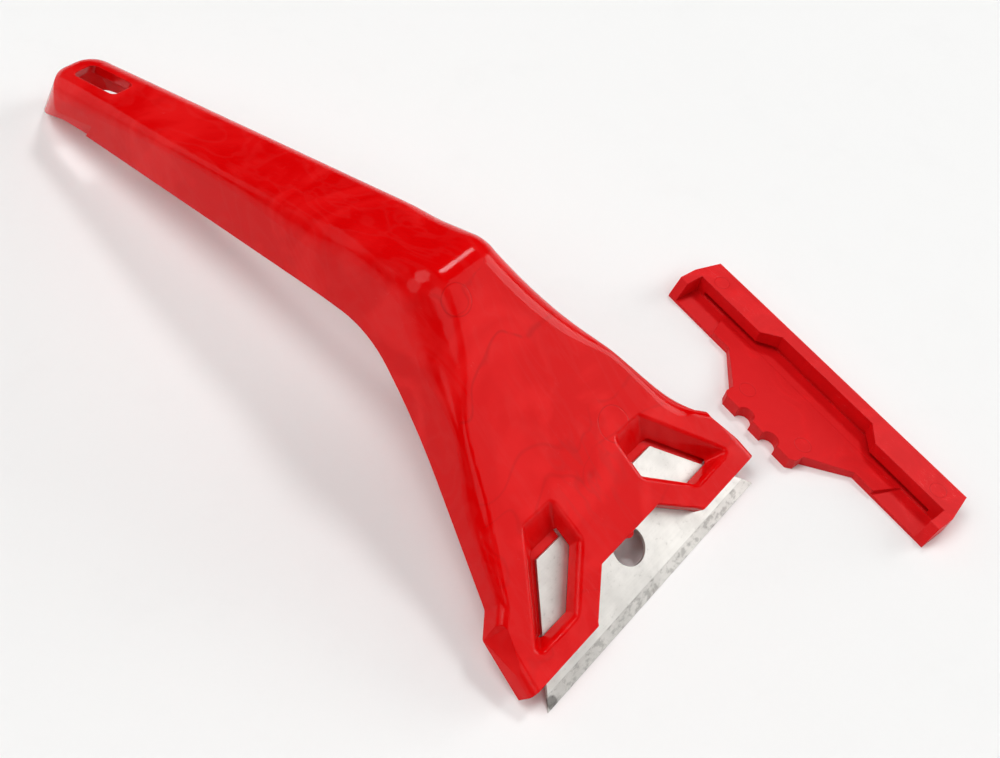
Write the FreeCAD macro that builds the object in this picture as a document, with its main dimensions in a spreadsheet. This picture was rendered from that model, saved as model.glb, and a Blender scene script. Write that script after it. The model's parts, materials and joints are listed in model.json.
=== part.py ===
import FreeCAD, Part
import os
import Sketcher

# A hand scraper in three pieces: a one-piece moulded handle and head, a trapezoid
# knife blade seated in the head, and a blade guard that is taken off and lies beside it.
#
# Tool frame, in which the handle and blade are drawn: x across, y forward along the
# blade, z square to the blade. The underside of the blade is z = 0 and its cutting edge
# is y = 0. Each of the two then gets one Placement that tips this frame about the
# cutting edge, so that the tool stands on the edge and on the end of its handle.
# Guard frame: x along the rail, y from the rail to the fingers, z up, bench at z = 0.

SIZES = [
    # name, millimetres or degrees, what it is
    ("rest_tilt", 28.7, "angle between the blade and the bench"),
    ("blade_edge_length", 61.0, "length of the cutting edge"),
    ("blade_back_length", 32.0, "length of the edge behind it"),
    ("blade_depth", 19.0, "from cutting edge to back edge"),
    ("blade_thickness", 0.6, "blade steel"),
    ("bevel_depth", 2.1, "width of the ground bevel on each side"),
    ("edge_thickness", 0.12, "steel left at the cutting edge"),
    ("blade_hole_diameter", 7.0, "round hole in the blade"),
    ("blade_hole_setback", 9.2, "cutting edge to centre of the hole"),
    ("notch_spacing", 6.6, "between the two locating notches"),
    ("notch_radius", 1.8, "half-round notches in the blade's back edge and the guard"),
    ("seat_clearance", 0.1, "above and below the blade in its seat"),
    ("post_clearance", 0.2, "between a locating post and a notch"),
    ("blade_reach", 4.7, "blade that stands out in front of the head"),
    ("head_wall", 3.0, "top of the head above the blade"),
    ("channel_wall", 2.2, "side and end walls of the hollow handle"),
    ("side_draft", 7.8, "lean of the side walls, closer together at the top"),
    ("ear_half_width", 32.8, "centre line to the outside of an ear, at its front"),
    ("ear_narrowing", 1.5, "how much closer to the centre line its back is"),
    ("ear_length", 10.8, "length of an ear, front to back"),
    ("ear_step_width", 3.5, "how far the back of an ear stands out from the flare"),
    ("ear_step_length", 3.2, "slant behind an ear"),
    ("ear_bevel_lean", 30.0, "lean of the facet on an ear's outer top edge"),
    ("ear_bevel_front", 34.6, "centre line to that facet at the front, level with the blade"),
    ("ear_bevel_back", 31.0, "centre line to that facet at the back, level with the blade"),
    ("ear_step_radius", 1.0, "corners behind an ear"),
    ("flare_end", 58.0, "cutting edge to where the flare meets the handle's side"),
    ("flare_radius", 160.0, "blend from flare to handle"),
    ("knee_half_width", 10.8, "centre line to that place, level with the blade"),
    ("handle_half_width", 7.4, "half the width of the handle at its end, lower down"),
    ("handle_width_drop", 70.0, "how far down that width is measured"),
    ("end_corner_radius", 6.2, "rounding of the handle's end seen from above"),
    ("foot_radius", 7.7, "rounding of the same end at the foot"),
    ("flat_end", 31.0, "cutting edge to the end of the flat front of the head"),
    ("head_blend_radius", 40.0, "blend behind the flat front"),
    ("crest_setback", 65.8, "cutting edge to the crest of the knee"),
    ("crest_height", 9.3, "crest above the blade"),
    ("crest_radius", 7.0, "rounding of the crest"),
    ("tool_reach", 143.6, "cutting edge to the handle's end, along the blade"),
    ("end_top_drop", 62.0, "top of the handle's end below the blade"),
    ("rim_front_drop", 0.4, "rim of the head below the blade, at the front"),
    ("rim_bend_setback", 19.0, "cutting edge to where the rim starts to fall away"),
    ("rim_bend_drop", 1.1, "that bend below the blade"),
    ("rim_knee_setback", 64.8, "cutting edge to the corner under the knee"),
    ("rim_knee_drop", 7.6, "corner under the knee below the blade"),
    ("foot_setback", 136.0, "cutting edge to where the rim turns down to the foot"),
    ("foot_drop", 65.2, "that turn below the blade"),
    ("rim_radius", 24.0, "rounding of the turns in the rim"),
    ("head_edge_radius", 1.8, "rounding of the top edges of the head"),
    ("slope_setback", 42.0, "cutting edge to the middle of the sloping top of the head"),
    ("slope_edge_radius", 4.2, "rounding of the top edges there"),
    ("knee_edge_radius", 5.6, "rounding of the top edges at the knee"),
    ("handle_edge_radius", 4.0, "rounding of the top edges of the handle"),
    ("hollow_edge_radius", 1.0, "least rounding of the same edges inside"),
    ("handle_edge_start", 82.0, "cutting edge to where the handle's rounding is full"),
    ("window_front", 8.8, "cutting edge to the front of a window, at the top of the head"),
    ("window_back", 25.5, "cutting edge to the back of a window"),
    ("window_inner", 8.9, "centre line to the inner side of a window"),
    ("window_back_outer", 15.9, "centre line to a window's outer back corner"),
    ("window_front_outer", 27.9, "centre line to a window's outer front corner"),
    ("window_front_inner", 17.7, "centre line to a window's inner front corner"),
    ("window_elbow", 17.1, "cutting edge to the elbow in a window's inner side"),
    ("window_slope", 0.8, "how much closer together its steep walls are at the ledge"),
    ("ramp_length", 5.0, "slope behind the ledge, front to back"),
    ("blade_end_room", 0.55, "between the blade's slanted end and the window's outer wall"),
    ("window_corner_radius", 0.6, "corners of the windows"),
    ("window_edge_radius", 1.1, "rounding of the upper edges of the windows"),
    ("ledge_thickness", 1.5, "ledges that carry the blade from below"),
    ("ramp_wall", 1.2, "wall round the ramp behind a ledge"),
    ("recess_back", 11.4, "cutting edge to the back of the front recess"),
    ("recess_back_half_width", 8.1, "half width of the recess at its back"),
    ("recess_front_half_width", 15.6, "half width of the recess at its mouth"),
    ("recess_edge_radius", 0.4, "rounding of the recess's upper edge"),
    ("recess_corner_radius", 2.0, "corners of the recess at its mouth"),
    ("nib_radius", 1.2, "nib at the middle of the recess"),
    ("nib_reach", 0.6, "how far the nib stands out from the recess"),
    ("nib_top_drop", 0.5, "top of the nib below the top of the head"),
    ("slot_setback", 135.2, "cutting edge to the middle of the hang slot"),
    ("slot_length", 10.2, "hang slot, along the blade's plane"),
    ("slot_width", 5.0, "hang slot across the handle"),
    ("slot_corner_radius", 1.2, "corners of the hang slot"),
    ("guard_side_clearance", 0.2, "between an ear and the guard's end wall"),
    ("guard_end_wall", 2.1, "guard's end walls"),
    ("guard_front_inset", 1.5, "how much narrower the guard is at the rail's front"),
    ("guard_height", 4.9, "guard's rail above the bench"),
    ("guard_depth", 12.1, "guard's floor, front to back"),
    ("guard_floor", 0.7, "guard's floor"),
    ("rail_depth", 6.1, "thick ends of the rail"),
    ("rail_middle_depth", 2.9, "thin middle of the rail"),
    ("rail_middle_half_width", 12.2, "half width of the thin middle"),
    ("rail_step_width", 3.6, "slant between thin and thick rail"),
    ("end_slope_depth", 1.8, "slope at the back of an end wall"),
    ("edge_seat", 2.9, "outside of the rail to the cutting edge when fitted"),
    ("guard_tilt", 6.5, "slope of the guard's plate, which lies against the blade"),
    ("plate_start_height", 1.1, "top of the plate where it leaves the rail"),
    ("plate_foot_half_width", 24.6, "half width of the plate at the rail"),
    ("plate_rear_half_width", 22.0, "half width of the plate at the back of the floor"),
    ("plate_shoulder_half_width", 17.4, "half width where the plate narrows"),
    ("neck_half_width", 9.6, "half width of the tongue"),
    ("neck_setback", 18.9, "outside of the rail to the tongue"),
    ("tongue_corner", 1.0, "chamfer at the tongue's corners"),
    ("edge_slot_height", 1.0, "slot in the rail that takes the cutting edge"),
    ("edge_slot_play", 0.35, "room round the cutting edge in that slot"),
    ("guard_x", -61.4, "middle of the guard's rail on the bench, across"),
    ("guard_y", -1.3, "middle of the guard's rail on the bench, forward"),
    ("guard_turn", -101.9, "how the guard is turned on the bench"),
]

# Lengths of helper blocks only; the pieces come out the same with longer ones.
OPEN = "60"  # how far a block runs on past the piece that it cuts
THROUGH = "400"  # length of a block that reaches right across every piece
OVERLAP = "1"  # how far two joined blocks, or a cutter and its piece, overlap
FLAT = "0.1"  # straight piece left between two roundings that almost meet

doc = FreeCAD.newDocument("scraper")


def make_sheet():
    sheet = doc.addObject("Spreadsheet::Sheet", "sizes")
    for row, (name, value, note) in enumerate(SIZES, start=1):
        sheet.set("A%d" % row, name)
        sheet.set("B%d" % row, str(value))
        sheet.set("C%d" % row, note)
        sheet.setAlias("B%d" % row, name)
    doc.recompute()
    return sheet


sheet = make_sheet()


def size(name):
    return float(sheet.get(name))


def plane(body, role):
    return next(feature for feature in body.Origin.OriginFeatures if feature.Role == role)


def value_of(sketch, expression):
    """A size expression as a plain number."""
    value = sketch.evalExpression(expression)
    return float(getattr(value, "Value", value))


def bind_corner(sketch, line, corner):
    """Fixes a line's start at a pair of size expressions from the origin."""
    point = FreeCAD.Vector(value_of(sketch, corner[0]), value_of(sketch, corner[1]), 0)
    for kind, axis, value, expression in (
        ("DistanceX", "across", point.x, corner[0]),
        ("DistanceY", "up", point.y, corner[1]),
    ):
        index = sketch.addConstraint(Sketcher.Constraint(kind, -1, 1, line, 1, value))
        name = "corner_%d_%s" % (line, axis)
        sketch.renameConstraint(index, name)
        sketch.setExpression("Constraints." + name, expression)


def round_corner(sketch, before, after, radius):
    """Rounds the corner between two lines and keeps the corner point they aim at."""
    near = sketch.Geometry[before].StartPoint
    far = sketch.Geometry[after].EndPoint
    value = value_of(sketch, radius)
    sketch.fillet(before, after, near, far, value, True, True)
    arc = max(i for i, g in enumerate(sketch.Geometry) if isinstance(g, Part.ArcOfCircle))
    index = sketch.addConstraint(Sketcher.Constraint("Radius", arc, value))
    name = "rounding_%d" % after
    sketch.renameConstraint(index, name)
    sketch.setExpression("Constraints." + name, radius)
    doc.recompute()


def add_outline(sketch, corners):
    """Closed outline. A corner is (across, up) or (across, up, rounding radius)."""
    first = sketch.GeometryCount
    count = len(corners)
    points = [
        FreeCAD.Vector(value_of(sketch, corner[0]), value_of(sketch, corner[1]), 0)
        for corner in corners
    ]
    for i in range(count):
        line = Part.LineSegment(points[i], points[(i + 1) % count])
        sketch.addGeometry(line, False)
    for i in range(count):
        following = first + (i + 1) % count
        sketch.addConstraint(Sketcher.Constraint("Coincident", first + i, 2, following, 1))
    for i, corner in enumerate(corners):
        bind_corner(sketch, first + i, corner)
    doc.recompute()
    for i, corner in enumerate(corners):
        if len(corner) == 3:
            round_corner(sketch, first + (i - 1) % count, first + i, corner[2])


def sketch_of(body, name, role, outlines):
    sketch = body.newObject("Sketcher::SketchObject", name)
    sketch.AttachmentSupport = [(plane(body, role), "")]
    sketch.MapMode = "FlatFace"
    for corners in outlines:
        add_outline(sketch, corners)
    doc.recompute()
    return sketch


def negated(expression):
    return "-(%s)" % expression


def mirrored(corners):
    """The same outline on the other side of the centre line."""
    return [(negated(corner[0]),) + tuple(corner[1:]) for corner in reversed(corners)]


def both_sides(half):
    """A symmetric outline from the corners of its +x half."""
    return half + mirrored(half)


def padded(name, role, outlines, length, midplane=False, offset=None):
    """One body with one pad of the given outlines."""
    body = doc.addObject("PartDesign::Body", name)
    sketch = sketch_of(body, name + "_outline", role, outlines)
    if offset:
        sketch.setExpression("AttachmentOffset.Base.z", offset)
    pad = body.newObject("PartDesign::Pad", name + "_pad")
    pad.Profile = sketch
    pad.Midplane = midplane
    pad.setExpression("Length", length)
    doc.recompute()
    return body


def boolean(kind, name, base, tool):
    """Part::Cut, Part::Common or Part::Fuse of two objects."""
    result = doc.addObject(kind, name)
    result.Base = base
    result.Tool = tool
    doc.recompute()
    return result


def boolean_list(kind, name, pieces):
    """Part::MultiFuse or Part::MultiCommon of several objects."""
    result = doc.addObject(kind, name)
    result.Shapes = pieces
    doc.recompute()
    return result


def drafted_side(name, outline, lean="sizes.side_draft"):
    """What lies inside one leaning side wall, its outline drawn level with the blade."""
    sketch = doc.addObject("Sketcher::SketchObject", name + "_outline")
    add_outline(sketch, outline)
    block = doc.addObject("Part::Extrusion", name)
    block.Base = sketch
    block.DirMode = "Custom"
    block.setExpression("Dir.x", "-tan(%s)" % lean)
    block.setExpression("Dir.z", "1")
    block.setExpression("LengthFwd", OPEN)
    block.setExpression("LengthRev", "3 * " + OPEN)
    block.Solid = True
    doc.recompute()
    return block


def lofted(name, low, low_height, high, high_height):
    """A solid with straight walls between two outlines of as many corners."""
    sections = []
    for level, outline, height in (("low", low, low_height), ("high", high, high_height)):
        sketch = doc.addObject("Sketcher::SketchObject", "%s_%s" % (name, level))
        add_outline(sketch, outline)
        sketch.setExpression("Placement.Base.z", height)
        sections.append(sketch)
    loft = doc.addObject("Part::Loft", name)
    loft.Sections = sections
    loft.Solid = True
    loft.Ruled = True
    doc.recompute()
    return loft


def mirror_image(name, piece):
    image = doc.addObject("Part::Mirroring", name)
    image.Source = piece
    image.Normal = (1, 0, 0)
    return image


def drafted_block(name, side, half):
    """A block with leaning side walls: its side profile between two drafted sides."""
    profile = padded(name + "_profile", "YZ_Plane", [side], THROUGH, midplane=True)
    right = drafted_side(name + "_right", half)
    left = mirror_image(name + "_left", right)
    return boolean_list("Part::MultiCommon", name, [profile, right, left])


def outlined_block(name, side, plan):
    """What a side profile and a plan outline have in common."""
    side_block = padded(name + "_side", "YZ_Plane", [side], THROUGH, midplane=True)
    plan_block = padded(name + "_plan", "XY_Plane", [plan], THROUGH, midplane=True)
    return boolean("Part::Common", name, side_block, plan_block)



def post(name, radius, centre, bottom, height):
    """A round post: radius, (x, y) centre, bottom and height as size expressions."""
    cylinder = doc.addObject("Part::Cylinder", name)
    cylinder.setExpression("Radius", radius)
    cylinder.setExpression("Height", height)
    cylinder.setExpression("Placement.Base.x", centre[0])
    cylinder.setExpression("Placement.Base.y", centre[1])
    cylinder.setExpression("Placement.Base.z", bottom)
    doc.recompute()
    return cylinder


def at_notches(name, radius, setback, bottom, height):
    """A round post at each of the two locating notches."""
    half = "sizes.notch_spacing / 2"
    return [
        post(name + "_left", radius, (negated(half), setback), bottom, height),
        post(name + "_right", radius, (half, setback), bottom, height),
    ]


# Heights and places that several pieces share, as size expressions.
HEAD_TOP = "sizes.blade_thickness + sizes.head_wall"
SEAT_ROOF = "sizes.blade_thickness + sizes.seat_clearance"
ROOF_DROP = "(sizes.head_wall - sizes.seat_clearance)"
EDGE_RISE = "(sizes.blade_thickness - sizes.edge_thickness) / 2"
HANDLE_SLOPE = (
    "(sizes.crest_height + sizes.end_top_drop) / (sizes.tool_reach - sizes.crest_setback)"
)
LEDGE_BOTTOM = "-sizes.seat_clearance - sizes.ledge_thickness"
LEDGE_INNER = "sizes.window_inner + sizes.window_slope"
LEDGE_FRONT = "sizes.window_front + sizes.window_slope"
LEDGE_ELBOW = "sizes.window_elbow - sizes.window_slope / 2"
LEDGE_FRONT_INNER = "sizes.window_front_inner - sizes.window_slope / 2"
EAR_BACK = "-sizes.blade_reach - sizes.ear_length"
EAR_BACK_WIDTH = "sizes.ear_half_width - sizes.ear_narrowing"


def handle_side():
    """The handle and head from the side: y forward, z up."""
    foot = EDGE_RISE + " - sizes.tool_reach * tan(sizes.rest_tilt)"
    return [
        ("-sizes.blade_reach", HEAD_TOP),
        ("-sizes.flat_end", HEAD_TOP, "sizes.head_blend_radius"),
        ("-sizes.crest_setback", "sizes.crest_height", "sizes.crest_radius"),
        ("-sizes.tool_reach", "-sizes.end_top_drop"),
        ("-sizes.tool_reach", foot),
        ("-sizes.foot_setback", "-sizes.foot_drop", "sizes.rim_radius"),
        ("-sizes.rim_knee_setback", "-sizes.rim_knee_drop", "sizes.rim_radius"),
        ("-sizes.rim_bend_setback", "-sizes.rim_bend_drop", "sizes.rim_radius"),
        ("-sizes.blade_reach", "-sizes.rim_front_drop"),
    ]


def hollow_side():
    """The room under the handle's top, open at the front and below."""
    end = "-sizes.tool_reach + sizes.channel_wall"
    end_roof = "-sizes.end_top_drop - %s + sizes.channel_wall * %s" % (ROOF_DROP, HANDLE_SLOPE)
    return [
        (OPEN, SEAT_ROOF),
        ("-sizes.flat_end", SEAT_ROOF, "sizes.head_blend_radius"),
        ("-sizes.crest_setback", "sizes.crest_height - " + ROOF_DROP, "sizes.crest_radius"),
        (end, end_roof),
        (end, "-sizes.tool_reach - " + OPEN),
        (OPEN, "-sizes.tool_reach - " + OPEN),
    ]


def flare(inset):
    """Outline from behind an ear to the handle's end, moved inwards."""
    end_width = "sizes.handle_half_width - sizes.handle_width_drop * tan(sizes.side_draft)"
    return [
        (
            EAR_BACK_WIDTH + " - sizes.ear_step_width - " + inset,
            EAR_BACK + " - sizes.ear_step_length",
            "sizes.ear_step_radius",
        ),
        (
            "sizes.knee_half_width - " + inset,
            "-sizes.flare_end",
            "sizes.flare_radius + " + inset,
        ),
        (
            end_width + " - " + inset,
            "-sizes.tool_reach + " + inset,
            "sizes.end_corner_radius - " + inset,
        ),
        (negated(OPEN), "-sizes.tool_reach + " + inset),
    ]


def handle_half():
    """What lies inside the right side wall, from the front to the end of the handle."""
    return [
        (negated(OPEN), "-sizes.blade_reach"),
        ("sizes.ear_half_width", "-sizes.blade_reach"),
        (EAR_BACK_WIDTH, EAR_BACK, "sizes.ear_step_radius"),
    ] + flare("0")


def hollow_half(inset):
    """The same moved inwards by a wall and open at the front."""
    return [
        (negated(OPEN), OPEN),
        ("sizes.ear_half_width - " + inset, OPEN),
        (EAR_BACK_WIDTH + " - " + inset, EAR_BACK),
    ] + flare(inset)


def end_arch(inset):
    """Upright rounding of the handle's end, +x half, moved inwards."""
    radius = "sizes.foot_radius - " + inset
    return [
        (radius + " + " + OPEN, OPEN),
        (radius + " + " + OPEN, "-sizes.foot_setback + sizes.foot_radius"),
        (radius, "-sizes.foot_setback + sizes.foot_radius"),
        (radius, "-sizes.tool_reach + " + inset, radius + " - " + FLAT),
    ]


def ear_bevel():
    """What lies inside the facet on an ear's outer top edge."""
    return [
        (negated(OPEN), "-sizes.blade_reach"),
        ("sizes.ear_bevel_front", "-sizes.blade_reach"),
        ("sizes.ear_bevel_back", EAR_BACK),
        ("sizes.ear_bevel_back", "-2 * sizes.tool_reach"),
        (negated(OPEN), "-2 * sizes.tool_reach"),
    ]


def ledge_room():
    """Side profile that lets the ledges through at their full thickness."""
    return [
        ("0", OPEN),
        (negated(OPEN), OPEN),
        (negated(OPEN), negated(OPEN)),
        ("0", negated(OPEN)),
    ]


def window():
    """One window at the top of the head, +x side."""
    corner = "sizes.window_corner_radius"
    return [
        ("sizes.window_inner", "-sizes.window_back", corner),
        ("sizes.window_inner", "-sizes.window_elbow", corner),
        ("sizes.window_front_inner", "-sizes.window_front", corner),
        ("sizes.window_front_outer", "-sizes.window_front", corner),
        ("sizes.window_back_outer", "-sizes.window_back", corner),
    ]


def beside_blade(setback):
    """Outer wall of a window beside the blade's slanted end, at a distance from the edge."""
    slant = "(sizes.blade_edge_length - sizes.blade_back_length) / 2 / sizes.blade_depth"
    return "sizes.blade_edge_length / 2 - (%s) * %s + sizes.blade_end_room" % (setback, slant)


def window_floor():
    """The same window where it meets the ledge below the blade."""
    corner = "sizes.window_corner_radius"
    back = "sizes.window_back - sizes.ramp_length"
    return [
        (LEDGE_INNER, negated(back), corner),
        (LEDGE_INNER, negated(LEDGE_ELBOW), corner),
        (LEDGE_FRONT_INNER, negated(LEDGE_FRONT), corner),
        (beside_blade(LEDGE_FRONT), negated(LEDGE_FRONT), corner),
        (beside_blade(back), negated(back), corner),
    ]


def ledge():
    """One ledge under a window, +x side, run out past the side wall that carries it."""
    return [
        (LEDGE_INNER, "-sizes.window_back"),
        (LEDGE_INNER, negated(LEDGE_ELBOW)),
        (LEDGE_FRONT_INNER, negated(LEDGE_FRONT)),
        (OPEN, negated(LEDGE_FRONT)),
        (OPEN, "-sizes.window_back"),
    ]


def ramp_back():
    """Solid under the ramp behind a ledge, +x side, run out past the side wall."""
    front = "-sizes.window_back + sizes.ramp_length"
    back = "-sizes.window_back - sizes.ramp_wall"
    inner = "sizes.window_inner - sizes.ramp_wall"
    return [(inner, back), (inner, front), (OPEN, front), (OPEN, back)]


def recess():
    """The recess in the front edge that bares the blade's hole."""
    return both_sides([
        ("sizes.recess_front_half_width", OPEN),
        ("sizes.recess_front_half_width", "-sizes.blade_reach", "sizes.recess_corner_radius"),
        ("sizes.recess_back_half_width", "-sizes.recess_back"),
    ])


LEVEL = 0.3  # a face whose normal rises more than this belongs to the top
UPRIGHT = 0.2  # a face whose normal rises or falls less than this belongs to a wall
FORWARD = 0.9  # a face whose normal points forward more than this is the flat front
NEAR = 0.01  # room in millimetres when edges are picked by where they lie


def top_rim(shape):
    """Indices and edges where the top meets the side and end walls."""
    found = []
    for index, edge in enumerate(shape.Edges, start=1):
        middle = edge.valueAt((edge.FirstParameter + edge.LastParameter) / 2)
        faces = [f for f in shape.Faces if any(edge.isSame(other) for other in f.Edges)]
        normals = [f.normalAt(*f.Surface.parameter(middle)) for f in faces]
        tops = [normal for normal in normals if normal.z > LEVEL]
        sides = [n for n in normals if abs(n.z) < UPRIGHT and n.y < FORWARD]
        if len(tops) == 1 and len(sides) == 1:
            found.append((index, edge))
    return found


def edge_radius(y, wall):
    """Rounding of the outer top edge at y, less the wall for the edge inside it."""
    stations = [
        (size("window_back"), size("head_edge_radius")),
        (size("slope_setback"), size("slope_edge_radius")),
        (size("flare_end"), size("knee_edge_radius")),
        (size("crest_setback") + size("crest_radius"), size("knee_edge_radius")),
        (size("handle_edge_start"), size("handle_edge_radius")),
    ]
    setback = min(max(-y, stations[0][0]), stations[-1][0])
    for (near, first), (far, second) in zip(stations, stations[1:]):
        if setback <= far:
            radius = first + (second - first) * (setback - near) / (far - near)
            return max(radius - wall, size("hollow_edge_radius"))
    return stations[-1][1] - wall


def rounded(name, base, wall):
    """The top edges rounded, little at the head and fully along the handle."""
    fillet = doc.addObject("Part::Fillet", name)
    fillet.Base = base
    radii = []
    for index, edge in top_rim(base.Shape):
        start = edge.valueAt(edge.FirstParameter).y
        end = edge.valueAt(edge.LastParameter).y
        radii.append((index, edge_radius(start, wall), edge_radius(end, wall)))
    fillet.Edges = radii
    doc.recompute()
    return fillet


def opening_edges(shape):
    """Upper edges of the windows and of the front recess, with their roundings."""
    top = size("blade_thickness") + size("head_wall")
    found = []
    for index, edge in enumerate(shape.Edges, start=1):
        box = edge.BoundBox
        middle = box.Center
        level = box.ZMin > top - NEAR and box.YMin > -size("window_back") - NEAR
        inside = max(abs(box.XMin), abs(box.XMax)) < size("window_front_outer") + NEAR
        if not (level and inside):
            continue
        ahead = middle.y > -size("recess_back") - NEAR
        if ahead and abs(middle.x) < size("recess_front_half_width"):
            found.append((index, size("recess_edge_radius"), size("recess_edge_radius")))
        else:
            found.append((index, size("window_edge_radius"), size("window_edge_radius")))
    return found


def tip(piece):
    """Tips the tool frame so that cutting edge and foot stand on the bench."""
    piece.setExpression("Placement.Rotation.Axis.x", "1")
    piece.setExpression("Placement.Rotation.Axis.y", "0")
    piece.setExpression("Placement.Rotation.Axis.z", "0")
    piece.setExpression("Placement.Rotation.Angle", "-sizes.rest_tilt")
    piece.setExpression("Placement.Base.y", "-(%s) * sin(sizes.rest_tilt)" % EDGE_RISE)
    piece.setExpression("Placement.Base.z", "-(%s) * cos(sizes.rest_tilt)" % EDGE_RISE)
    doc.recompute()


def handle_outside():
    """The outer form of handle and head, solid."""
    block = drafted_block("handle_block", handle_side(), handle_half())
    soft = rounded("handle_rounded", block, 0)
    arch = padded("end_arch", "XY_Plane", [both_sides(end_arch("0"))], THROUGH, midplane=True)
    bevel = drafted_side("ear_bevel", ear_bevel(), "sizes.ear_bevel_lean")
    other_bevel = mirror_image("other_ear_bevel", bevel)
    return boolean_list("Part::MultiCommon", "handle_outer", [soft, arch, bevel, other_bevel])


def handle_inside():
    """The room inside the walls, open at the front and below."""
    block = drafted_block("hollow_block", hollow_side(), hollow_half("sizes.channel_wall"))
    soft = rounded("hollow_rounded", block, size("channel_wall"))
    outline = both_sides(end_arch("sizes.channel_wall"))
    arch = padded("inner_arch", "XY_Plane", [outline], THROUGH, midplane=True)
    return boolean("Part::Common", "hollow", soft, arch)


def blade_carriers():
    """Ledges below the blade and the solid under the ramps, ended inside the side walls."""
    ledges = padded(
        "ledge_blocks", "XY_Plane", [ledge(), mirrored(ledge())],
        "sizes.ledge_thickness", offset=LEDGE_BOTTOM,
    )
    ramps = padded(
        "ramp_blocks", "XY_Plane", [ramp_back(), mirrored(ramp_back())],
        "%s + sizes.head_wall / 2 - (%s)" % (SEAT_ROOF, LEDGE_BOTTOM), offset=LEDGE_BOTTOM,
    )
    both = boolean("Part::Fuse", "ledges_and_ramps", ledges, ramps)
    limit = drafted_block("ledge_limit", ledge_room(), hollow_half("sizes.channel_wall / 2"))
    return boolean("Part::Common", "blade_carriers", both, limit)


def head_openings():
    """Cutters for the front recess and the two windows."""
    front = padded("recess", "XY_Plane", [recess()], OPEN, offset="sizes.blade_thickness / 2")
    right = lofted("window", window_floor(), "-sizes.seat_clearance", window(), HEAD_TOP)
    left = mirror_image("other_window", right)
    return boolean_list("Part::MultiFuse", "openings", [front, right, left])


def locating_posts():
    """Posts on the ledges' level that stand in the blade's notches."""
    radius = "sizes.notch_radius - sizes.post_clearance"
    height = "%s - (%s) + %s" % (SEAT_ROOF, LEDGE_BOTTOM, OVERLAP)
    return at_notches("post", radius, "-sizes.blade_depth", LEDGE_BOTTOM, height)


def hang_slot():
    """The slot near the handle's end, cut straight down through its top."""
    half_width = "sizes.slot_width / 2"
    corner = "sizes.slot_corner_radius"
    outline = both_sides([
        (half_width, "-sizes.slot_setback + sizes.slot_length / 2", corner),
        (half_width, "-sizes.slot_setback - sizes.slot_length / 2", corner),
    ])
    return padded("hang_slot", "XY_Plane", [outline], THROUGH, midplane=True)


def softened(name, base):
    """The upper edges of the openings rounded."""
    fillet = doc.addObject("Part::Fillet", name)
    fillet.Base = base
    fillet.Edges = opening_edges(base.Shape)
    doc.recompute()
    return fillet


def make_handle():
    shell = boolean("Part::Cut", "handle_shell", handle_outside(), handle_inside())
    floored = boolean("Part::Fuse", "handle_floored", shell, blade_carriers())
    opened = boolean("Part::Cut", "handle_opened", floored, head_openings())
    soft = softened("handle_softened", opened)
    nib_place = ("0", "-sizes.recess_back - sizes.nib_radius + sizes.nib_reach")
    nib_height = ROOF_DROP + " - sizes.nib_top_drop"
    nib = post("nib", "sizes.nib_radius", nib_place, SEAT_ROOF, nib_height)
    joined = boolean_list("Part::MultiFuse", "handle_joined", [soft, nib] + locating_posts())
    handle = boolean("Part::Cut", "handle", joined, hang_slot())
    tip(handle)
    return handle


def blade_side():
    """The blade from the side, ground from both faces to its edge."""
    low = EDGE_RISE
    high = EDGE_RISE + " + sizes.edge_thickness"
    return [
        ("0", low),
        ("0", high),
        ("-sizes.bevel_depth", "sizes.blade_thickness"),
        ("-sizes.blade_depth", "sizes.blade_thickness"),
        ("-sizes.blade_depth", "0"),
        ("-sizes.bevel_depth", "0"),
    ]


def make_blade():
    plan = both_sides([
        ("sizes.blade_edge_length / 2", "0"),
        ("sizes.blade_back_length / 2", "-sizes.blade_depth"),
    ])
    plate = outlined_block("blade_plate", blade_side(), plan)
    bottom = negated(OVERLAP)
    depth = "sizes.blade_thickness + 2 * " + OVERLAP
    hole_place = ("0", "-sizes.blade_hole_setback")
    hole = post("blade_hole", "sizes.blade_hole_diameter / 2", hole_place, bottom, depth)
    notches = at_notches("notch", "sizes.notch_radius", "-sizes.blade_depth", bottom, depth)
    cutters = boolean_list("Part::MultiFuse", "blade_cutters", [hole] + notches)
    blade = boolean("Part::Cut", "blade", plate, cutters)
    tip(blade)
    return blade


GUARD_INNER = "(sizes.ear_half_width + sizes.guard_side_clearance)"
GUARD_OUTER = GUARD_INNER + " + sizes.guard_end_wall"
PLATE_RISE = "tan(sizes.guard_tilt)"


def plate_line(y, above="0"):
    """Height of the plate's top, or a line above it, at a distance from the rail."""
    return "sizes.plate_start_height + %s + (%s - sizes.rail_depth) * %s" % (above, y, PLATE_RISE)


FINGER_TIPS = "(sizes.edge_seat + sizes.blade_depth)"
RAIL_STEP_END = "sizes.rail_middle_half_width + sizes.rail_step_width"


def guard_pocket():
    """What is cut out behind the rail and between the end walls."""
    return both_sides([
        ("sizes.rail_middle_half_width", "sizes.rail_middle_depth"),
        (RAIL_STEP_END, "sizes.rail_depth"),
        (GUARD_INNER, "sizes.rail_depth"),
        (GUARD_INNER, OPEN),
    ])


def end_slope():
    """What is cut off the back of the end walls, from the side."""
    return [
        ("sizes.guard_depth", "sizes.guard_floor"),
        ("sizes.guard_depth - sizes.end_slope_depth", "sizes.guard_height"),
        ("sizes.guard_depth - sizes.end_slope_depth", OPEN),
        (OPEN, OPEN),
        (OPEN, "sizes.guard_floor"),
    ]


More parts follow.
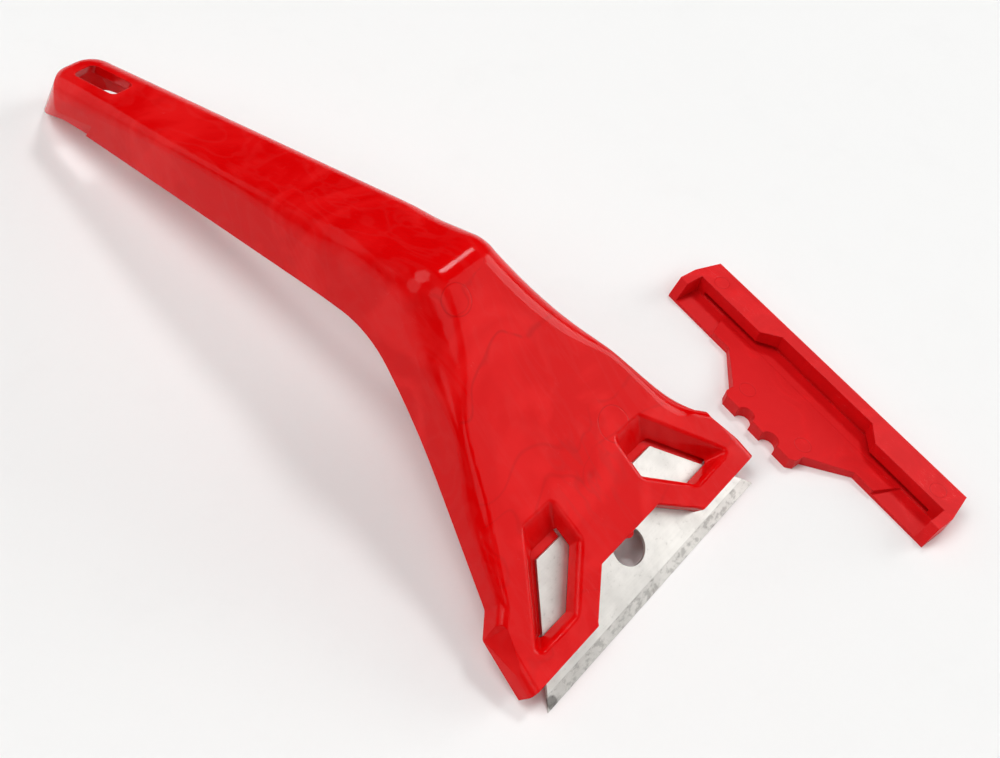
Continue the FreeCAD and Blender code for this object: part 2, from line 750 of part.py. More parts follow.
def guard_tray():
    """The rail, the end walls and the floor between them."""
    outline = both_sides([
        (GUARD_OUTER + " - sizes.guard_front_inset", "0"),
        (GUARD_OUTER, "sizes.rail_depth"),
        (GUARD_OUTER, "sizes.guard_depth"),
    ])
    block = padded("guard_block", "XY_Plane", [outline], "sizes.guard_height")
    pocket = padded(
        "guard_pocket", "XY_Plane", [guard_pocket()], OPEN, offset="sizes.guard_floor",
    )
    walls = boolean("Part::Cut", "guard_walls", block, pocket)
    slope = padded("guard_slope", "YZ_Plane", [end_slope()], THROUGH, midplane=True)
    return boolean("Part::Cut", "guard_tray", walls, slope)


def guard_plate():
    """The sloping plate and its tongue, which lie against the blade."""
    side = [
        ("0", "0"),
        ("0", plate_line("0")),
        (FINGER_TIPS, plate_line(FINGER_TIPS)),
        (FINGER_TIPS, "0"),
    ]
    plan = both_sides([
        ("sizes.rail_middle_half_width", "sizes.rail_middle_depth - " + OVERLAP),
        (RAIL_STEP_END, "sizes.rail_depth - " + OVERLAP),
        ("sizes.plate_foot_half_width", "sizes.rail_depth - " + OVERLAP),
        ("sizes.plate_foot_half_width", "sizes.rail_depth"),
        ("sizes.plate_rear_half_width", "sizes.guard_depth"),
        ("sizes.plate_shoulder_half_width", "sizes.guard_depth"),
        ("sizes.neck_half_width", "sizes.neck_setback"),
        ("sizes.neck_half_width", FINGER_TIPS + " - sizes.tongue_corner"),
        ("sizes.neck_half_width - sizes.tongue_corner", FINGER_TIPS),
    ])
    return outlined_block("guard_plate", side, plan)


def edge_slot():
    """Cutter for the slot in the rail that takes the cutting edge."""
    near = "(sizes.edge_seat - sizes.edge_slot_play)"
    far = "(sizes.rail_depth + %s)" % OVERLAP
    low = "-sizes.seat_clearance"
    high = "sizes.edge_slot_height - sizes.seat_clearance"
    side = [
        (near, plate_line(near, low)),
        (far, plate_line(far, low)),
        (far, plate_line(far, high)),
        (near, plate_line(near, high)),
    ]
    length = "sizes.blade_edge_length + 2 * sizes.edge_slot_play"
    return padded("edge_slot", "YZ_Plane", [side], length, midplane=True)


def make_guard():
    joined = boolean("Part::Fuse", "guard_joined", guard_tray(), guard_plate())
    notches = at_notches("guard_notch", "sizes.notch_radius", FINGER_TIPS, negated(OVERLAP), OPEN)
    cutters = boolean_list("Part::MultiFuse", "guard_cutters", [edge_slot()] + notches)
    guard = boolean("Part::Cut", "blade_guard", joined, cutters)
    guard.setExpression("Placement.Rotation.Axis.x", "0")
    guard.setExpression("Placement.Rotation.Axis.y", "0")
    guard.setExpression("Placement.Rotation.Axis.z", "1")
    guard.setExpression("Placement.Rotation.Angle", "sizes.guard_turn")
    guard.setExpression("Placement.Base.x", "sizes.guard_x")
    guard.setExpression("Placement.Base.y", "sizes.guard_y")
    doc.recompute()
    return guard


def check(pieces):
    failed = [o.Name for o in doc.Objects if {"Invalid", "Error"} & set(o.State)]
    if failed:
        raise RuntimeError("failed objects: " + ", ".join(failed))
    for piece in pieces:
        shape = piece.Shape
        if shape.isNull() or not shape.isValid() or len(shape.Solids) != 1:
            raise RuntimeError("%s is not one valid solid" % piece.Label)


def main():
    pieces = [make_handle(), make_blade(), make_guard()]
    check(pieces)
    os.makedirs("parts", exist_ok=True)
    for piece in pieces:
        piece.Shape.exportStep("parts/%s.step" % piece.Label)
        print("%-12s %9.1f cubic millimetres" % (piece.Label, piece.Shape.Volume))


if __name__ == "__main__":
    main()
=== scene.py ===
"""Dresses the paint and window scraper: a moulded handle, a steel blade and a loose guard on a table."""

import json
import math

import bpy
from mathutils import Matrix, Vector

bl_info = {
    "name": "Paint and window scraper",
    "version": (1, 0, 0),
    "blender": (4, 5, 0),
    "location": "View3D > Sidebar > Scraper",
    "description": "Finishes of a moulded scraper handle, its ground steel blade and its blade guard",
    "category": "Object",
}

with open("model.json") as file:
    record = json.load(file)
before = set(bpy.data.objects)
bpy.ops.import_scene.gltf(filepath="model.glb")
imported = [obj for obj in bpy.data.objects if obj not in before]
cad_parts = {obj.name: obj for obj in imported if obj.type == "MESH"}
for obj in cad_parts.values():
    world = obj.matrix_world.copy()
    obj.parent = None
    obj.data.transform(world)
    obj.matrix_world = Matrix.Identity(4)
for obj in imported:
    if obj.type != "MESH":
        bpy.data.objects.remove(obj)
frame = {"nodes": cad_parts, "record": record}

MM = 0.001
EDGE = next(mount["axis"] for mount in frame["record"]["mounts"] if mount["name"] == "cutting_edge")
REST_TILT = math.atan2(-EDGE[2], EDGE[1])  # the blade's plane dips towards the table by this angle
GUARD_TURN = math.radians(-101.9)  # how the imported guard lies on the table
GUARD_PLACE = (-61.4, -1.3, 0.0)  # millimetres from the cutting edge to the middle of the guard's rail
TOOL_MIDDLE = -0.06  # metres along y from the cutting edge to the middle of the tool

# Places on the pieces, in millimetres of each piece's own plan. A pin has its centre and its radius.
HANDLE_PINS = (((-10.3, -27.2), 3.3), ((3.9, -60.5), 2.7))
GUARD_PINS = (((-29.5, 3.6), 1.6), ((29.5, 3.6), 1.6), ((-7.6, 16.7), 1.7), ((7.6, 16.7), 1.7))
GATE = (-0.4, -23.5)
# A painted shadow on the blade: a dark half round at its corner under the front of the head.
CORNER_SHADOW = (28.9, -0.7)
CORNER_SHADOW_RADII = (1.3, 0.9)  # millimetres from the painted shadow's middle at which it starts and is fully dark

# Mean sizes of the surface patterns, in millimetres. Three numbers are along the piece's own x, y and z.
MELT_CLOUD = 20.0
MELT_RIBBON = (6.25, 22.22, 10.0)
WEAR_PATCH = 9.09
HANDLE_SCRATCH = (1.3, 8.16, 2.86)
MOULD_POLISH = 0.4
ROLLING_LINE = (8.33, 0.286, 1.0)
OIL_STAIN = 6.25
OIL_FRECKLE = 0.769
GRINDING_LINE = (0.2, 2.0, 2.0)
BURNT_STREAK = (1.82, 1.11, 2.0)
ERODED_PIT = 0.3125
GUARD_CLOUD = 11.11
GUARD_SCRATCH = (4.0, 0.833, 2.0)
ROLLER_CLOUD = 83.3
ROLLER_STIPPLE = 1.11
HANDLING_MARK = 16.7

# Dark fronts where the melt met itself: place along the head, half width in millimetres, and darkness.
# The wander adds up to its own length to each place, and half of that on average.
FRONTS = ((-36.0, 0.8, 1.0), (-47.0, 0.6, 0.8), (-20.0, 1.0, 0.6), (-11.0, 0.7, 0.6), (2.0, 0.8, 0.5))
FRONT_WANDER = (26.0, 26.0, 0.0)
FRONT_BEND = 14.29

SOFTBOXES = (  # name, bearing from +x, height above the table, width (degrees), strength
    ("overhead_front", 300.0, 66.0, 34.0, 1.40),
    ("right", 330.0, 42.0, 34.0, 0.64),
    ("small_left", 185.0, 59.0, 11.0, 0.74),
    ("back_left", 127.0, 36.0, 34.0, 0.52),
    ("low_left", 150.0, 18.0, 30.0, 1.15),
    ("back_right", 60.0, 46.0, 34.0, 0.60),
    ("low_front", 285.0, 18.0, 34.0, 0.28),
)
BACKDROP_TOP = (0.07, 0.15)  # sines of the angles above the table between which the backdrop fades out

CAMERA_PLACE = (0.10274, 0.0176, 0.17054)  # metres from the middle of the cutting edge
CAMERA_RIGHT = (-0.6444, 0.7495, 0.1517)
CAMERA_BACK = (0.5381, 0.3035, 0.7864)
CAMERA_NEAR = 0.01
LENS = 40.84
SENSOR = 36.0

# Fields that several nodes share, and the sockets of a Mix node that is set to mix colours.
SMOOTH = {"interpolation_type": "SMOOTHSTEP"}
TIMES = {"operation": "MULTIPLY"}
MIX_SHARE, MIX_UNDER, MIX_OVER, MIX_RESULT = 0, 6, 7, 2


def linear(code):
    """Turns a colour written as an sRGB hex value into linear light."""
    parts = [int(code[start:start + 2], 16) / 255 for start in (1, 3, 5)]
    return tuple(part / 12.92 if part <= 0.04045 else ((part + 0.055) / 1.055) ** 2.4 for part in parts)


def node(tree, kind, settings=None, links=None):
    """Adds a node, sets its fields and sockets, and joins other nodes' outputs to it."""
    made = tree.nodes.new(kind)
    for name, value in (settings or {}).items():
        if isinstance(name, str) and hasattr(made, name):
            setattr(made, name, value)
        else:
            made.inputs[name].default_value = value
    for name, source in (links or {}).items():
        tree.links.new(source, made.inputs[name])
    return made


def new_material(name):
    """An empty material, and its node tree."""
    material = bpy.data.materials.new(name)
    material.use_nodes = True
    material.node_tree.nodes.clear()
    return material, material.node_tree


def millimetres(tree, turn=(0.0, 0.0, 0.0), place=(0.0, 0.0, 0.0)):
    """The piece's own coordinates in millimetres, set square to one of its faces."""
    own = node(tree, "ShaderNodeTexCoord")
    moved = node(tree, "ShaderNodeVectorMath", {"operation": "DIVIDE", 1: (MM, MM, MM)},
                 {0: own.outputs["Object"]})
    shifted = node(tree, "ShaderNodeVectorMath", {"operation": "SUBTRACT", 1: place}, {0: moved.outputs[0]})
    turned = node(tree, "ShaderNodeVectorRotate", {"rotation_type": "EULER_XYZ", "Rotation": turn},
                  {"Vector": shifted.outputs[0]})
    return turned.outputs[0]


def facing(tree, turn, least, full):
    """One on faces whose own normal, turned square to the piece, points up."""
    own = node(tree, "ShaderNodeTexCoord")
    turned = node(tree, "ShaderNodeVectorRotate", {"rotation_type": "EULER_XYZ", "Rotation": turn},
                  {"Vector": own.outputs["Normal"]})
    parts = node(tree, "ShaderNodeSeparateXYZ", None, {0: turned.outputs[0]})
    upward = node(tree, "ShaderNodeMapRange", {**SMOOTH, "From Min": least, "From Max": full},
                  {"Value": parts.outputs[2]})
    return upward.outputs[0]


def near(tree, value, target, width):
    """One where a value meets its target, fading to nothing at a width from it."""
    gap = node(tree, "ShaderNodeMath", {"operation": "SUBTRACT", 1: target}, {0: value})
    size = node(tree, "ShaderNodeMath", {"operation": "ABSOLUTE"}, {0: gap.outputs[0]})
    faded = node(tree, "ShaderNodeMapRange", {**SMOOTH, "From Max": width, "To Min": 1.0, "To Max": 0.0},
                 {"Value": size.outputs[0]})
    return faded.outputs[0]


def flat_distance(tree, own, centre):
    """Distance in millimetres from an upright line through a point of the piece's plan."""
    level = node(tree, "ShaderNodeVectorMath", {**TIMES, 1: (1.0, 1.0, 0.0)}, {0: own})
    apart = node(tree, "ShaderNodeVectorMath", {"operation": "DISTANCE", 1: (*centre, 0.0)},
                 {0: level.outputs[0]})
    return apart.outputs["Value"]


def total(tree, terms):
    """Adds up masks, each multiplied by its weight."""
    result = None
    for mask, weight in terms:
        settings = {"operation": "MULTIPLY_ADD", 1: weight, 2: 0.0}
        links = {0: mask} if result is None else {0: mask, 2: result}
        result = node(tree, "ShaderNodeMath", settings, links).outputs[0]
    return result


def shade(colour, factor):
    """A colour made lighter or darker."""
    return tuple(min(1.0, part * factor) for part in colour)


def coat(tree, under, over, terms):
    """Lays one colour over another, as thickly as the weighted masks add up to."""
    settings = {"data_type": "RGBA", MIX_OVER: (*over, 1.0)}
    links = {MIX_SHARE: total(tree, terms)}
    if isinstance(under, bpy.types.NodeSocket):
        links[MIX_UNDER] = under
    else:
        settings[MIX_UNDER] = (*under, 1.0)
    return node(tree, "ShaderNodeMix", settings, links).outputs[MIX_RESULT]


def patches(tree, own, size, start, full, look):
    """A cloudy texture with a mean size in millimetres, and the patches where it rises from start to full."""
    cloud = node(tree, "ShaderNodeTexNoise", {"Scale": 1.0 / size, **look}, {"Vector": own})
    inside = node(tree, "ShaderNodeMapRange", {**SMOOTH, "From Min": start, "From Max": full},
                  {"Value": cloud.outputs[0]})
    return cloud.outputs[0], inside.outputs[0]


def streaks(tree, own, size, look):
    """A cloudy texture drawn out to a mean size in millimetres along each axis."""
    drawn = node(tree, "ShaderNodeVectorMath", {"operation": "DIVIDE", 1: size}, {0: own})
    cloud = node(tree, "ShaderNodeTexNoise", {"Scale": 1.0, **look}, {"Vector": drawn.outputs[0]})
    return cloud.outputs[0]


def rings(tree, own, pins, line):
    """Thin circles that ejector pins leave, drawn with a line of a half width in millimetres."""
    return total(tree, [(near(tree, flat_distance(tree, own, centre), radius, line), 1.0)
                        for centre, radius in pins])


def specks(tree, own, spacing, radius, share):
    """Sparse dots: their mean spacing, radius in millimetres and the share that shows."""
    cells = node(tree, "ShaderNodeTexVoronoi", {"Scale": 1.0 / spacing}, {"Vector": own})
    dot = near(tree, cells.outputs["Distance"], 0.0, radius / spacing)
    parts = node(tree, "ShaderNodeSeparateColor", None, {0: cells.outputs["Color"]})
    least = 1.0 - share
    full = 1.0 - share * 0.9
    picked = node(tree, "ShaderNodeMapRange", {**SMOOTH, "From Min": least, "From Max": full},
                  {"Value": parts.outputs[0]})
    return node(tree, "ShaderNodeMath", TIMES, {0: dot, 1: picked.outputs[0]}).outputs[0]


def relief(tree, height, edge):
    """Surface normal from a height in millimetres over edges softened by a radius in millimetres."""
    soft = node(tree, "ShaderNodeBevel", {"samples": 4, "Radius": edge * MM})
    raised = node(tree, "ShaderNodeBump", {"Strength": 1.0, "Distance": MM},
                  {"Height": height, "Normal": soft.outputs[0]})
    return raised.outputs[0]


def dress(name, material):
    """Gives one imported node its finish."""
    for slot in frame["nodes"][name].material_slots:
        slot.material = material


class HandleSettings(bpy.types.PropertyGroup):
    """Colour and surface of the moulded handle."""
    colour: bpy.props.FloatVectorProperty(
        name="Colour", description="Pigment of the handle's plastic", subtype="COLOR", size=3,
        min=0.0, max=1.0, default=linear("#D40305"))
    roughness: bpy.props.FloatProperty(
        name="Roughness", description="How much the polished mould blurs a reflection", subtype="FACTOR",
        min=0.0, max=1.0, default=0.1)
    ripple: bpy.props.FloatProperty(
        name="Ripple", description="Distance between the ripples of the moulded skin", subtype="DISTANCE",
        unit="LENGTH", min=0.0005, max=0.05, default=0.006)


class BladeSettings(bpy.types.PropertyGroup):
    """Colour and grinding of the steel blade."""
    colour: bpy.props.FloatVectorProperty(
        name="Colour", description="Reflection colour of the steel", subtype="COLOR", size=3,
        min=0.0, max=1.0, default=linear("#CFCCC7"))
    roughness: bpy.props.FloatProperty(
        name="Roughness", description="How much the oiled steel blurs a reflection", subtype="FACTOR",
        min=0.0, max=1.0, default=0.4)
    bevel: bpy.props.FloatProperty(
        name="Bevel", description="Width of the ground bevel behind the cutting edge", subtype="DISTANCE",
        unit="LENGTH", min=0.0005, max=0.01, default=0.0021)


class GuardSettings(bpy.types.PropertyGroup):
    """Colour and surface of the blade guard."""
    colour: bpy.props.FloatVectorProperty(
        name="Colour", description="Pigment of the guard's plastic", subtype="COLOR", size=3,
        min=0.0, max=1.0, default=linear("#D60D12"))
    roughness: bpy.props.FloatProperty(
        name="Roughness", description="How much the eroded mould blurs a reflection", subtype="FACTOR",
        min=0.0, max=1.0, default=0.42)


class StageSettings(bpy.types.PropertyGroup):
    """The table, the lights and the camera."""
    floor_colour: bpy.props.FloatVectorProperty(
        name="Table colour", description="Paint of the table top", subtype="COLOR", size=3, min=0.0, max=1.0,
        default=linear("#F4F4F3"))
    floor_size: bpy.props.FloatProperty(
        name="Table size", description="Length of each side of the table top", subtype="DISTANCE",
        unit="LENGTH", min=0.5, max=20.0, default=6.0)
    light: bpy.props.FloatProperty(
        name="Light", description="Strength of all the softboxes together", min=0.0, max=10.0, default=1.0)
    light_distance: bpy.props.FloatProperty(
        name="Light distance", description="From the tool to each softbox", subtype="DISTANCE", unit="LENGTH",
        min=0.5, max=20.0, default=3.0)
    ceiling: bpy.props.FloatProperty(
        name="Ceiling", description="Brightness of the dim room above the lights", min=0.0, max=10.0,
        default=0.01)
    backdrop: bpy.props.FloatProperty(
        name="Backdrop", description="Brightness of the pale backdrop round the table", min=0.0, max=10.0,
        default=0.85)


def flow_marks(tree, own):
    """Pale clouds, thin dark fronts and soft ribbons that the melt leaves as it slows and meets itself."""
    _, pale = patches(tree, own, MELT_CLOUD, start=0.42, full=0.66, look={"Detail": 3.0, "Distortion": 1.6})
    streak = streaks(tree, own, MELT_RIBBON, {"Detail": 2.0, "Distortion": 1.8})
    ribbons = near(tree, streak, target=0.5, width=0.09)
    bend = node(tree, "ShaderNodeTexNoise", {"Scale": 1.0 / FRONT_BEND, "Detail": 1.0, "Distortion": 0.8},
                {"Vector": own})
    moved = node(tree, "ShaderNodeVectorMath", {"operation": "MULTIPLY_ADD", 1: FRONT_WANDER},
                 {0: bend.outputs["Color"], 2: own})
    place = node(tree, "ShaderNodeSeparateXYZ", None, {0: moved.outputs[0]})
    lines = total(tree, [(near(tree, place.outputs[1], line, width), darkness)
                         for line, width, darkness in FRONTS])
    fade = node(tree, "ShaderNodeMapRange", {**SMOOTH, "From Min": 0.3, "From Max": 0.5}, {"Value": streak})
    fronts = node(tree, "ShaderNodeMath", TIMES, {0: lines, 1: fade.outputs[0]}).outputs[0]
    return pale, fronts, ribbons


def gloss_plastic(settings):
    """Polystyrene, injection moulded in a polished tool: a deep even red under a wet gloss."""
    material, tree = new_material("gloss_moulded_polystyrene")
    own = millimetres(tree, turn=(REST_TILT, 0.0, 0.0))
    top = facing(tree, (REST_TILT, 0.0, 0.0), least=0.75, full=0.9)
    pale, fronts, ribbons = flow_marks(tree, own)
    fronts = node(tree, "ShaderNodeMath", TIMES, {0: fronts, 1: top}).outputs[0]
    # Pins that push the part out of the mould, and the broken-off gate with the swirl round it.
    circles = rings(tree, own, HANDLE_PINS, line=0.2)
    pins = node(tree, "ShaderNodeMath", TIMES, {0: circles, 1: top}).outputs[0]
    from_gate = flat_distance(tree, own, GATE)
    scar = near(tree, from_gate, target=0.0, width=1.4)
    gate = node(tree, "ShaderNodeMath", TIMES, {0: scar, 1: top}).outputs[0]
    round_gate = near(tree, from_gate, target=3.0, width=9.0)
    swirl = node(tree, "ShaderNodeMath", TIMES, {0: round_gate, 1: ribbons}).outputs[0]
    # Use leaves short hair scratches, duller patches and a few nicks and grains of dust.
    _, worn = patches(tree, own, WEAR_PATCH, start=0.5, full=0.75, look={"Detail": 4.0, "Roughness": 0.65})
    hair = streaks(tree, own, HANDLE_SCRATCH, {"Detail": 2.0, "Distortion": 0.6})
    line = near(tree, hair, target=0.5, width=0.003)
    scratch = node(tree, "ShaderNodeMath", TIMES, {0: line, 1: worn}).outputs[0]
    dust = specks(tree, own, spacing=9.0, radius=0.17, share=0.2)
    # The skin copies the fine ripple of a hand-polished mould.
    ripple = node(tree, "ShaderNodeTexNoise", {"Scale": MM / settings.ripple, "Detail": 1.0}, {"Vector": own})
    skin = node(tree, "ShaderNodeTexNoise", {"Scale": 1.0 / MOULD_POLISH, "Detail": 2.0}, {"Vector": own})

    red = coat(tree, settings.colour, shade(settings.colour, 1.12), [(pale, 1.0)])
    red = coat(tree, red, shade(settings.colour, 0.72), [(fronts, 0.5), (swirl, 0.25)])
    red = coat(tree, red, shade(settings.colour, 0.55), [(pins, 0.4), (gate, 0.35)])
    # A pale pink: the scratches' and dust's own whitening, and a faint painted sheen over the pale clouds and
    # ribbons.
    red = coat(tree, red, linear("#EDB4B1"),
               [(pale, 0.012), (ribbons, 0.008), (scratch, 0.1), (dust, 0.6)])
    dull = total(tree, [(pale, 0.05), (ribbons, 0.03), (worn, 0.05), (scratch, 0.12), (gate, 0.12)])
    rough = node(tree, "ShaderNodeMath", {"operation": "ADD", 1: settings.roughness}, {0: dull})
    height = total(tree, [(ripple.outputs[0], 0.022), (skin.outputs[0], 0.001), (pale, 0.015), (pins, -0.012),
                          (gate, -0.08), (scratch, -0.004), (dust, 0.02)])
    # The reflection's level is fitted to the real skin, and far below the 0.5 that this plastic itself gives.
    shader = node(tree, "ShaderNodeBsdfPrincipled", {"IOR": 1.59, "Specular IOR Level": 0.075},
                  {"Base Color": red, "Roughness": rough.outputs[0],
                   "Normal": relief(tree, height, edge=0.25)})
    node(tree, "ShaderNodeOutputMaterial", None, {"Surface": shader.outputs[0]})
    return material


def ground_steel(settings):
    """Hardened carbon steel, rolled, ground at the edge and oiled: mottled grey with dulled reflections."""
    material, tree = new_material("ground_carbon_steel")
    own = millimetres(tree, turn=(REST_TILT, 0.0, 0.0))
    place = node(tree, "ShaderNodeSeparateXYZ", None, {0: own})
    bevel_line = -settings.bevel / MM
    # Rolling leaves faint lines along the strip; the oil film dries into freckles and broad stains.
    rolled = streaks(tree, own, ROLLING_LINE, {"Detail": 3.0})
    film, stain = patches(tree, own, OIL_STAIN, start=0.35, full=0.7, look={"Detail": 4.0, "Roughness": 0.6})
    _, freckle = patches(tree, own, OIL_FRECKLE, start=0.58, full=0.74,
                         look={"Detail": 3.0, "Roughness": 0.7})
    # The bevel is ground across the edge, with short burnt streaks where the wheel grabbed.
    soft = 0.05
    bevel = node(tree, "ShaderNodeMapRange",
                 {**SMOOTH, "From Min": bevel_line - soft, "From Max": bevel_line + soft},
                 {"Value": place.outputs[1]}).outputs[0]
    heel = near(tree, place.outputs[1], bevel_line, width=0.16)
    wheel = streaks(tree, own, GRINDING_LINE, {"Detail": 3.0})
    ground = node(tree, "ShaderNodeMath", TIMES, {0: wheel, 1: bevel}).outputs[0]
    heat = streaks(tree, own, BURNT_STREAK, {"Detail": 4.0, "Roughness": 0.65})
    scorched = node(tree, "ShaderNodeMapRange", {**SMOOTH, "From Min": 0.47, "From Max": 0.62},
                    {"Value": heat})
    burnt = node(tree, "ShaderNodeMath", TIMES, {0: scorched.outputs[0], 1: bevel}).outputs[0]
    # Painted shadow: one dark half round at a corner of the blade, where the front of the head shades it.
    outer, inner = CORNER_SHADOW_RADII
    corner_shadow = node(tree, "ShaderNodeMapRange", {**SMOOTH, "From Min": outer, "From Max": inner},
                {"Value": flat_distance(tree, own, CORNER_SHADOW)}).outputs[0]

    grey = coat(tree, shade(settings.colour, 1.05), shade(settings.colour, 0.9), [(stain, 1.0)])
    grey = coat(tree, grey, shade(settings.colour, 0.55), [(rolled, 0.2), (freckle, 0.28)])
    grey = coat(tree, grey, shade(settings.colour, 0.42), [(burnt, 0.42), (heel, 0.25)])
    # The painted shadow at the blade's corner.
    grey = coat(tree, grey, linear("#3A3330"), [(corner_shadow, 0.6)])
    dull = total(tree, [(film, 0.1), (freckle, 0.12), (rolled, 0.06), (burnt, 0.15)])
    rough = node(tree, "ShaderNodeMath", {"operation": "ADD", 1: settings.roughness}, {0: dull})
    height = total(tree, [(rolled, 0.004), (ground, 0.006), (freckle, -0.003)])
    shader = node(tree, "ShaderNodeBsdfPrincipled", {"Metallic": 1.0},
                  {"Base Color": grey, "Roughness": rough.outputs[0],
                   "Normal": relief(tree, height, edge=0.04)})
    node(tree, "ShaderNodeOutputMaterial", None, {"Surface": shader.outputs[0]})
    return material


def satin_plastic(settings):
    """Polypropylene, injection moulded in an eroded tool: the same red, softened by a fine satin grain."""
    material, tree = new_material("satin_moulded_polypropylene")
    own = millimetres(tree, turn=(0.0, 0.0, -GUARD_TURN), place=GUARD_PLACE)
    # Sparks erode the mould into pits a few tenths of a millimetre wide, which the plastic copies.
    grain = node(tree, "ShaderNodeTexNoise", {"Scale": 1.0 / ERODED_PIT, "Detail": 2.0}, {"Vector": own})
    cloud, pale = patches(tree, own, GUARD_CLOUD, start=0.45, full=0.68,
                          look={"Detail": 4.0, "Distortion": 1.5})
    pins = rings(tree, own, GUARD_PINS, line=0.2)
    # Putting the guard on and off leaves it with scratches and whitened nicks.
    hair = streaks(tree, own, GUARD_SCRATCH, {"Detail": 2.0, "Distortion": 0.8})
    line = near(tree, hair, target=0.5, width=0.006)
    scratch = node(tree, "ShaderNodeMath", TIMES, {0: line, 1: pale}).outputs[0]
    dust = specks(tree, own, spacing=6.0, radius=0.16, share=0.25)

    red = coat(tree, settings.colour, shade(settings.colour, 1.12), [(pale, 1.0)])
    red = coat(tree, red, shade(settings.colour, 0.72), [(grain.outputs[0], 0.22), (pins, 0.35)])
    red = coat(tree, red, linear("#F0B5B2"), [(scratch, 0.14), (dust, 0.5)])
    dull = total(tree, [(pale, -0.06), (scratch, 0.1), (grain.outputs[0], 0.08)])
    rough = node(tree, "ShaderNodeMath", {"operation": "ADD", 1: settings.roughness}, {0: dull})
    height = total(tree, [(grain.outputs[0], 0.012), (pins, -0.03), (scratch, -0.006), (cloud, 0.12)])
    # The reflection's level is fitted to the real skin, and below the 0.5 that this plastic itself gives.
    shader = node(tree, "ShaderNodeBsdfPrincipled", {"IOR": 1.49, "Specular IOR Level": 0.2},
                  {"Base Color": red, "Roughness": rough.outputs[0],
                   "Normal": relief(tree, height, edge=0.2)})
    node(tree, "ShaderNodeOutputMaterial", None, {"Surface": shader.outputs[0]})
    return material


def painted_board(settings):
    """Board rolled with matt white paint: near white, with roller stipple, faint handling marks and dust."""
    material, tree = new_material("matt_white_board")
    own = millimetres(tree)
    cloud = node(tree, "ShaderNodeTexNoise", {"Scale": 1.0 / ROLLER_CLOUD, "Detail": 3.0}, {"Vector": own})
    stipple = node(tree, "ShaderNodeTexNoise", {"Scale": 1.0 / ROLLER_STIPPLE, "Detail": 3.0},
                   {"Vector": own})
    rub, handled = patches(tree, own, HANDLING_MARK, start=0.5, full=0.75,
                           look={"Detail": 5.0, "Roughness": 0.7})
    dust = specks(tree, own, spacing=34.0, radius=0.4, share=0.2)

    white = coat(tree, settings.floor_colour, shade(settings.floor_colour, 0.975), [(cloud.outputs[0], 1.0)])
    white = coat(tree, white, shade(settings.floor_colour, 0.6),
                 [(handled, 0.03), (stipple.outputs[0], 0.02)])
    white = coat(tree, white, linear("#4A4644"), [(dust, 0.6)])
    # How dull the paint dries follows mostly how thickly it was rolled on.
    rough = total(tree, [(stipple.outputs[0], 0.1), (rub, 0.1), (cloud.outputs[0], 1.4)])
    height = total(tree, [(stipple.outputs[0], 0.01), (dust, 0.05)])
    bump = node(tree, "ShaderNodeBump", {"Strength": 1.0, "Distance": MM}, {"Height": height})
    shader = node(tree, "ShaderNodeBsdfPrincipled", {"IOR": 1.45, "Specular IOR Level": 0.2},
                  {"Base Color": white, "Roughness": rough, "Normal": bump.outputs[0]})
    node(tree, "ShaderNodeOutputMaterial", None, {"Surface": shader.outputs[0]})
    return material


def softbox(name, bearing, height, width, strength, distance):
    """A round soft light that faces the tool: bearing, height and width as degrees seen from the tool."""
    lamp = bpy.data.lights.new(name, "AREA")
    lamp.shape = "DISK"
    lamp.size = 2.0 * distance * math.tan(math.radians(width) / 2.0)
    lamp.energy = strength * math.pi * distance ** 2
    light = bpy.data.objects.new(name, lamp)
    level = distance * math.cos(math.radians(height))
    light.location = (level * math.cos(math.radians(bearing)),
                      level * math.sin(math.radians(bearing)) + TOOL_MIDDLE,
                      distance * math.sin(math.radians(height)))
    light.rotation_euler = (math.radians(90.0 - height), 0.0, math.radians(bearing + 90.0))
    bpy.context.scene.collection.objects.link(light)


def table_top(settings):
    """A flat square board, centred under the middle of the cutting edge."""
    half = settings.floor_size / 2
    mesh = bpy.data.meshes.new("table_top")
    mesh.from_pydata([(-half, -half, 0.0), (half, -half, 0.0), (half, half, 0.0), (-half, half, 0.0)], [],
                     [(0, 1, 2, 3)])
    mesh.materials.append(painted_board(settings))
    table = bpy.data.objects.new("table_top", mesh)
    bpy.context.scene.collection.objects.link(table)


def studio_room(settings):
    """A low pale backdrop all round the table under a dim ceiling."""
    room = bpy.data.worlds.new("studio_room")
    room.use_nodes = True
    tree = room.node_tree
    tree.nodes.clear()
    direction = node(tree, "ShaderNodeTexCoord")
    parts = node(tree, "ShaderNodeSeparateXYZ", None, {0: direction.outputs["Generated"]})
    fade_start, fade_end = BACKDROP_TOP
    level = node(tree, "ShaderNodeMapRange", {**SMOOTH, "From Min": fade_start, "From Max": fade_end,
                                              "To Min": settings.backdrop, "To Max": settings.ceiling},
                 {"Value": parts.outputs["Z"]})
    glow = node(tree, "ShaderNodeBackground", None, {"Strength": level.outputs[0]})
    node(tree, "ShaderNodeOutputWorld", None, {"Surface": glow.outputs[0]})
    return room


def set_camera(scene):
    """A camera above and to the right of the blade, looking down and back along the handle."""
    lens = bpy.data.cameras.new("camera")
    lens.sensor_width = SENSOR
    lens.lens = LENS
    lens.clip_start = CAMERA_NEAR
    camera = bpy.data.objects.new("camera", lens)
    back = Vector(CAMERA_BACK).normalized()
    up = back.cross(Vector(CAMERA_RIGHT)).normalized()
    turn = Matrix((up.cross(back), up, back)).transposed()
    camera.matrix_world = Matrix.Translation(CAMERA_PLACE) @ turn.to_4x4()
    scene.collection.objects.link(camera)
    scene.camera = camera


class SCRAPER_OT_handle(bpy.types.Operator):
    """Finish the moulded handle"""
    bl_idname = "scraper.handle"
    bl_label = "Finish the handle"

    def execute(self, context):
        dress("handle", gloss_plastic(context.scene.scraper_handle))
        return {"FINISHED"}


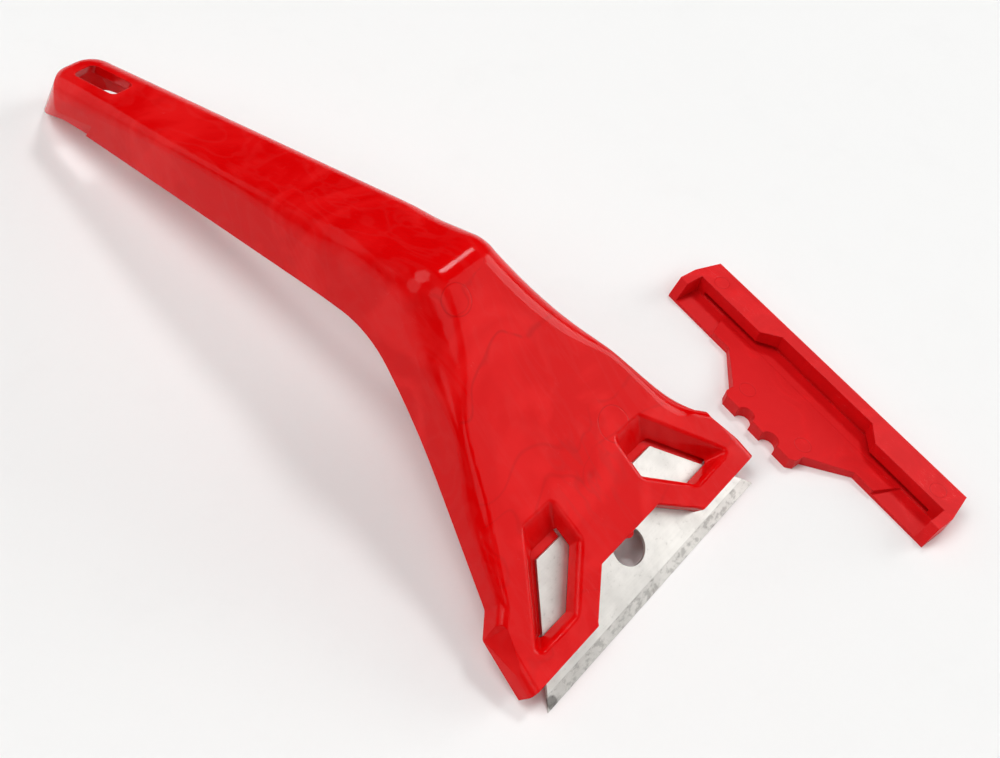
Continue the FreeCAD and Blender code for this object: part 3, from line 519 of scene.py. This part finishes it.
class SCRAPER_OT_blade(bpy.types.Operator):
    """Finish the steel blade"""
    bl_idname = "scraper.blade"
    bl_label = "Finish the blade"

    def execute(self, context):
        dress("blade", ground_steel(context.scene.scraper_blade))
        return {"FINISHED"}


class SCRAPER_OT_guard(bpy.types.Operator):
    """Finish the blade guard"""
    bl_idname = "scraper.guard"
    bl_label = "Finish the blade guard"

    def execute(self, context):
        dress("blade_guard", satin_plastic(context.scene.scraper_guard))
        return {"FINISHED"}


class SCRAPER_OT_stage(bpy.types.Operator):
    """Set the table, the lights and the camera"""
    bl_idname = "scraper.stage"
    bl_label = "Set the stage"

    def execute(self, context):
        scene = context.scene
        settings = scene.scraper_stage
        table_top(settings)
        for name, bearing, height, width, strength in SOFTBOXES:
            softbox(name, bearing, height, width, strength * settings.light, settings.light_distance)
        scene.world = studio_room(settings)
        scene.view_settings.view_transform = "Standard"
        set_camera(scene)
        return {"FINISHED"}


class SCRAPER_PT_panel(bpy.types.Panel):
    """Sizes and colours of the scraper, with the steps that make it"""
    bl_idname = "SCRAPER_PT_panel"
    bl_label = "Scraper"
    bl_space_type = "VIEW_3D"
    bl_region_type = "UI"
    bl_category = "Scraper"

    def draw(self, context):
        for group, step in STEPS:
            box = self.layout.box()
            settings = getattr(context.scene, group)
            for name in settings.bl_rna.properties.keys():
                if name not in ("rna_type", "name"):
                    box.prop(settings, name)
            box.operator(step)


STEPS = (("scraper_handle", "scraper.handle"), ("scraper_blade", "scraper.blade"),
         ("scraper_guard", "scraper.guard"), ("scraper_stage", "scraper.stage"))
GROUPS = (HandleSettings, BladeSettings, GuardSettings, StageSettings)
CLASSES = (*GROUPS, SCRAPER_OT_handle, SCRAPER_OT_blade, SCRAPER_OT_guard, SCRAPER_OT_stage, SCRAPER_PT_panel)


def register():
    """Adds the settings, the operators and the panel."""
    for kind in CLASSES:
        bpy.utils.register_class(kind)
    for (name, _), group in zip(STEPS, GROUPS):
        setattr(bpy.types.Scene, name, bpy.props.PointerProperty(type=group))


def unregister():
    """Takes them away again."""
    for name, _ in STEPS:
        delattr(bpy.types.Scene, name)
    for kind in reversed(CLASSES):
        bpy.utils.unregister_class(kind)


def main():
    """Makes the whole scene."""
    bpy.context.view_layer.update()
    register()
    bpy.ops.scraper.handle()
    bpy.ops.scraper.blade()
    bpy.ops.scraper.guard()
    bpy.ops.scraper.stage()


if __name__ == "__main__":
    main()
